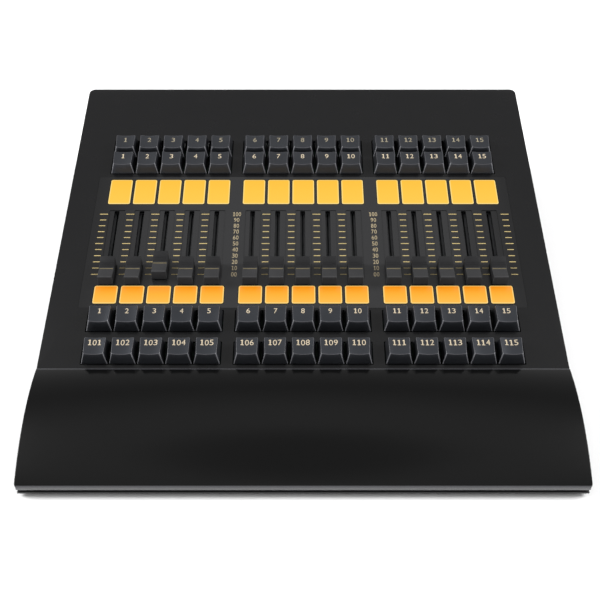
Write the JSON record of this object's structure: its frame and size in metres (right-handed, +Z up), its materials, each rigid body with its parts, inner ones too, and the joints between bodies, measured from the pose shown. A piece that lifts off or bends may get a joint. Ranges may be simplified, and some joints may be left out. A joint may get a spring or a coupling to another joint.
{
  "type": "lighting control desk",
  "caption": "Low wedge-shaped lighting desk wing with banks of slide faders, square keys and amber backlit label windows above a curved full-width wrist rest.",
  "frame": {"origin": "on the surface it stands on, below the middle of the overall box", "axes": "+Z up; +Y to the rear, away from the operator; +X to the operator's right"},
  "size_m": [0.36, 0.3746, 0.0743],
  "materials": {
    "case_steel": "black powder-coated steel sheet, fine texture",
    "surface_steel": "matt black painted steel panel",
    "overlay_film": "thin matt charcoal printed film",
    "rest_paint": "smooth satin black paint",
    "amber_lens": "amber diffusing lens, lit from below",
    "switch_plastic": "black moulded housings with springs inside",
    "fader_steel": "bright steel frames and rails",
    "board_green": "green solder mask over fibreglass",
    "supply_aluminium": "plain aluminium cage",
    "inlet_plastic": "black moulded inlet module with three plated blades",
    "socket_steel": "plated steel shell",
    "foot_rubber": "black rubber",
    "screw_steel": "blackened steel",
    "rocker_plastic": "black glossy rocker",
    "fader_cap_plastic": "charcoal matt caps with a cream index line",
    "keycap_plastic": "black finely textured keycaps with cream printed numbers"
  },
  "bodies": {
    "case": {"base_plate": "case_steel", "case_walls": "case_steel", "top_panel": "surface_steel", "fader_overlay": "overlay_film", "wrist_rest": "rest_paint", "label_windows": "amber_lens", "key_switches": "switch_plastic", "fader_frames": "fader_steel", "circuit_boards": "board_green", "power_supply": "supply_aluminium", "power_inlet": "inlet_plastic", "usb_socket": "socket_steel", "rubber_feet": "foot_rubber", "case_screws": "screw_steel"},
    "power_rocker": {"power_rocker": "rocker_plastic"},
    "fader_01": {"fader_01": "fader_cap_plastic"},
    "fader_02": {"fader_02": "fader_cap_plastic"},
    "fader_03": {"fader_03": "fader_cap_plastic"},
    "fader_04": {"fader_04": "fader_cap_plastic"},
    "fader_05": {"fader_05": "fader_cap_plastic"},
    "fader_06": {"fader_06": "fader_cap_plastic"},
    "fader_07": {"fader_07": "fader_cap_plastic"},
    "fader_08": {"fader_08": "fader_cap_plastic"},
    "fader_09": {"fader_09": "fader_cap_plastic"},
    "fader_10": {"fader_10": "fader_cap_plastic"},
    "fader_11": {"fader_11": "fader_cap_plastic"},
    "fader_12": {"fader_12": "fader_cap_plastic"},
    "fader_13": {"fader_13": "fader_cap_plastic"},
    "fader_14": {"fader_14": "fader_cap_plastic"},
    "fader_15": {"fader_15": "fader_cap_plastic"},
    "upper_keys_01": {"upper_keys_01": "keycap_plastic"},
    "upper_keys_02": {"upper_keys_02": "keycap_plastic"},
    "upper_keys_03": {"upper_keys_03": "keycap_plastic"},
    "upper_keys_04": {"upper_keys_04": "keycap_plastic"},
    "upper_keys_05": {"upper_keys_05": "keycap_plastic"},
    "upper_keys_06": {"upper_keys_06": "keycap_plastic"},
    "upper_keys_07": {"upper_keys_07": "keycap_plastic"},
    "upper_keys_08": {"upper_keys_08": "keycap_plastic"},
    "upper_keys_09": {"upper_keys_09": "keycap_plastic"},
    "upper_keys_10": {"upper_keys_10": "keycap_plastic"},
    "upper_keys_11": {"upper_keys_11": "keycap_plastic"},
    "upper_keys_12": {"upper_keys_12": "keycap_plastic"},
    "upper_keys_13": {"upper_keys_13": "keycap_plastic"},
    "upper_keys_14": {"upper_keys_14": "keycap_plastic"},
    "upper_keys_15": {"upper_keys_15": "keycap_plastic"},
    "lower_keys_01": {"lower_keys_01": "keycap_plastic"},
    "lower_keys_02": {"lower_keys_02": "keycap_plastic"},
    "lower_keys_03": {"lower_keys_03": "keycap_plastic"},
    "lower_keys_04": {"lower_keys_04": "keycap_plastic"},
    "lower_keys_05": {"lower_keys_05": "keycap_plastic"},
    "lower_keys_06": {"lower_keys_06": "keycap_plastic"},
    "lower_keys_07": {"lower_keys_07": "keycap_plastic"},
    "lower_keys_08": {"lower_keys_08": "keycap_plastic"},
    "lower_keys_09": {"lower_keys_09": "keycap_plastic"},
    "lower_keys_10": {"lower_keys_10": "keycap_plastic"},
    "lower_keys_11": {"lower_keys_11": "keycap_plastic"},
    "lower_keys_12": {"lower_keys_12": "keycap_plastic"},
    "lower_keys_13": {"lower_keys_13": "keycap_plastic"},
    "lower_keys_14": {"lower_keys_14": "keycap_plastic"},
    "lower_keys_15": {"lower_keys_15": "keycap_plastic"}
  },
  "joints": [
    {"name": "fader_01_slide", "type": "slide", "parent": "case", "child": "fader_01", "axis": [0, 0.9848, 0.1736], "range_m": [0, 0.06]},
    {"name": "fader_02_slide", "type": "slide", "parent": "case", "child": "fader_02", "axis": [0, 0.9848, 0.1736], "range_m": [0, 0.06]},
    {"name": "fader_03_slide", "type": "slide", "parent": "case", "child": "fader_03", "axis": [0, 0.9848, 0.1736], "range_m": [-0.0053, 0.0547]},
    {"name": "fader_04_slide", "type": "slide", "parent": "case", "child": "fader_04", "axis": [0, 0.9848, 0.1736], "range_m": [0, 0.06]},
    {"name": "fader_05_slide", "type": "slide", "parent": "case", "child": "fader_05", "axis": [0, 0.9848, 0.1736], "range_m": [0, 0.06]},
    {"name": "fader_06_slide", "type": "slide", "parent": "case", "child": "fader_06", "axis": [0, 0.9848, 0.1736], "range_m": [0, 0.06]},
    {"name": "fader_07_slide", "type": "slide", "parent": "case", "child": "fader_07", "axis": [0, 0.9848, 0.1736], "range_m": [0, 0.06]},
    {"name": "fader_08_slide", "type": "slide", "parent": "case", "child": "fader_08", "axis": [0, 0.9848, 0.1736], "range_m": [0, 0.06]},
    {"name": "fader_09_slide", "type": "slide", "parent": "case", "child": "fader_09", "axis": [0, 0.9848, 0.1736], "range_m": [0, 0.06]},
    {"name": "fader_10_slide", "type": "slide", "parent": "case", "child": "fader_10", "axis": [0, 0.9848, 0.1736], "range_m": [0, 0.06]},
    {"name": "fader_11_slide", "type": "slide", "parent": "case", "child": "fader_11", "axis": [0, 0.9848, 0.1736], "range_m": [0, 0.06]},
    {"name": "fader_12_slide", "type": "slide", "parent": "case", "child": "fader_12", "axis": [0, 0.9848, 0.1736], "range_m": [0, 0.06]},
    {"name": "fader_13_slide", "type": "slide", "parent": "case", "child": "fader_13", "axis": [0, 0.9848, 0.1736], "range_m": [0, 0.06]},
    {"name": "fader_14_slide", "type": "slide", "parent": "case", "child": "fader_14", "axis": [0, 0.9848, 0.1736], "range_m": [0, 0.06]},
    {"name": "fader_15_slide", "type": "slide", "parent": "case", "child": "fader_15", "axis": [0, 0.9848, 0.1736], "range_m": [0, 0.06]},
    {"name": "upper_keys_01_press", "type": "slide", "parent": "case", "child": "upper_keys_01", "axis": [0, 0.1736, -0.9848], "range_m": [0, 0.0036], "stiffness_N_per_m": 160, "springref_m": -0.004},
    {"name": "upper_keys_02_press", "type": "slide", "parent": "case", "child": "upper_keys_02", "axis": [0, 0.1736, -0.9848], "range_m": [0, 0.0036], "stiffness_N_per_m": 160, "springref_m": -0.004},
    {"name": "upper_keys_03_press", "type": "slide", "parent": "case", "child": "upper_keys_03", "axis": [0, 0.1736, -0.9848], "range_m": [0, 0.0036], "stiffness_N_per_m": 160, "springref_m": -0.004},
    {"name": "upper_keys_04_press", "type": "slide", "parent": "case", "child": "upper_keys_04", "axis": [0, 0.1736, -0.9848], "range_m": [0, 0.0036], "stiffness_N_per_m": 160, "springref_m": -0.004},
    {"name": "upper_keys_05_press", "type": "slide", "parent": "case", "child": "upper_keys_05", "axis": [0, 0.1736, -0.9848], "range_m": [0, 0.0036], "stiffness_N_per_m": 160, "springref_m": -0.004},
    {"name": "upper_keys_06_press", "type": "slide", "parent": "case", "child": "upper_keys_06", "axis": [0, 0.1736, -0.9848], "range_m": [0, 0.0036], "stiffness_N_per_m": 160, "springref_m": -0.004},
    {"name": "upper_keys_07_press", "type": "slide", "parent": "case", "child": "upper_keys_07", "axis": [0, 0.1736, -0.9848], "range_m": [0, 0.0036], "stiffness_N_per_m": 160, "springref_m": -0.004},
    {"name": "upper_keys_08_press", "type": "slide", "parent": "case", "child": "upper_keys_08", "axis": [0, 0.1736, -0.9848], "range_m": [0, 0.0036], "stiffness_N_per_m": 160, "springref_m": -0.004},
    {"name": "upper_keys_09_press", "type": "slide", "parent": "case", "child": "upper_keys_09", "axis": [0, 0.1736, -0.9848], "range_m": [0, 0.0036], "stiffness_N_per_m": 160, "springref_m": -0.004},
    {"name": "upper_keys_10_press", "type": "slide", "parent": "case", "child": "upper_keys_10", "axis": [0, 0.1736, -0.9848], "range_m": [0, 0.0036], "stiffness_N_per_m": 160, "springref_m": -0.004},
    {"name": "upper_keys_11_press", "type": "slide", "parent": "case", "child": "upper_keys_11", "axis": [0, 0.1736, -0.9848], "range_m": [0, 0.0036], "stiffness_N_per_m": 160, "springref_m": -0.004},
    {"name": "upper_keys_12_press", "type": "slide", "parent": "case", "child": "upper_keys_12", "axis": [0, 0.1736, -0.9848], "range_m": [0, 0.0036], "stiffness_N_per_m": 160, "springref_m": -0.004},
    {"name": "upper_keys_13_press", "type": "slide", "parent": "case", "child": "upper_keys_13", "axis": [0, 0.1736, -0.9848], "range_m": [0, 0.0036], "stiffness_N_per_m": 160, "springref_m": -0.004},
    {"name": "upper_keys_14_press", "type": "slide", "parent": "case", "child": "upper_keys_14", "axis": [0, 0.1736, -0.9848], "range_m": [0, 0.0036], "stiffness_N_per_m": 160, "springref_m": -0.004},
    {"name": "upper_keys_15_press", "type": "slide", "parent": "case", "child": "upper_keys_15", "axis": [0, 0.1736, -0.9848], "range_m": [0, 0.0036], "stiffness_N_per_m": 160, "springref_m": -0.004},
    {"name": "lower_keys_01_press", "type": "slide", "parent": "case", "child": "lower_keys_01", "axis": [0, 0.1736, -0.9848], "range_m": [0, 0.0036], "stiffness_N_per_m": 160, "springref_m": -0.004},
    {"name": "lower_keys_02_press", "type": "slide", "parent": "case", "child": "lower_keys_02", "axis": [0, 0.1736, -0.9848], "range_m": [0, 0.0036], "stiffness_N_per_m": 160, "springref_m": -0.004},
    {"name": "lower_keys_03_press", "type": "slide", "parent": "case", "child": "lower_keys_03", "axis": [0, 0.1736, -0.9848], "range_m": [0, 0.0036], "stiffness_N_per_m": 160, "springref_m": -0.004},
    {"name": "lower_keys_04_press", "type": "slide", "parent": "case", "child": "lower_keys_04", "axis": [0, 0.1736, -0.9848], "range_m": [0, 0.0036], "stiffness_N_per_m": 160, "springref_m": -0.004},
    {"name": "lower_keys_05_press", "type": "slide", "parent": "case", "child": "lower_keys_05", "axis": [0, 0.1736, -0.9848], "range_m": [0, 0.0036], "stiffness_N_per_m": 160, "springref_m": -0.004},
    {"name": "lower_keys_06_press", "type": "slide", "parent": "case", "child": "lower_keys_06", "axis": [0, 0.1736, -0.9848], "range_m": [0, 0.0036], "stiffness_N_per_m": 160, "springref_m": -0.004},
    {"name": "lower_keys_07_press", "type": "slide", "parent": "case", "child": "lower_keys_07", "axis": [0, 0.1736, -0.9848], "range_m": [0, 0.0036], "stiffness_N_per_m": 160, "springref_m": -0.004},
    {"name": "lower_keys_08_press", "type": "slide", "parent": "case", "child": "lower_keys_08", "axis": [0, 0.1736, -0.9848], "range_m": [0, 0.0036], "stiffness_N_per_m": 160, "springref_m": -0.004},
    {"name": "lower_keys_09_press", "type": "slide", "parent": "case", "child": "lower_keys_09", "axis": [0, 0.1736, -0.9848], "range_m": [0, 0.0036], "stiffness_N_per_m": 160, "springref_m": -0.004},
    {"name": "lower_keys_10_press", "type": "slide", "parent": "case", "child": "lower_keys_10", "axis": [0, 0.1736, -0.9848], "range_m": [0, 0.0036], "stiffness_N_per_m": 160, "springref_m": -0.004},
    {"name": "lower_keys_11_press", "type": "slide", "parent": "case", "child": "lower_keys_11", "axis": [0, 0.1736, -0.9848], "range_m": [0, 0.0036], "stiffness_N_per_m": 160, "springref_m": -0.004},
    {"name": "lower_keys_12_press", "type": "slide", "parent": "case", "child": "lower_keys_12", "axis": [0, 0.1736, -0.9848], "range_m": [0, 0.0036], "stiffness_N_per_m": 160, "springref_m": -0.004},
    {"name": "lower_keys_13_press", "type": "slide", "parent": "case", "child": "lower_keys_13", "axis": [0, 0.1736, -0.9848], "range_m": [0, 0.0036], "stiffness_N_per_m": 160, "springref_m": -0.004},
    {"name": "lower_keys_14_press", "type": "slide", "parent": "case", "child": "lower_keys_14", "axis": [0, 0.1736, -0.9848], "range_m": [0, 0.0036], "stiffness_N_per_m": 160, "springref_m": -0.004},
    {"name": "lower_keys_15_press", "type": "slide", "parent": "case", "child": "lower_keys_15", "axis": [0, 0.1736, -0.9848], "range_m": [0, 0.0036], "stiffness_N_per_m": 160, "springref_m": -0.004},
    {"name": "power_rocker_tilt", "type": "hinge", "parent": "case", "child": "power_rocker", "pos_m": [-0.12, 0.178, 0.048], "axis": [1, 0, 0], "range_deg": [0, 18]}
  ]
}
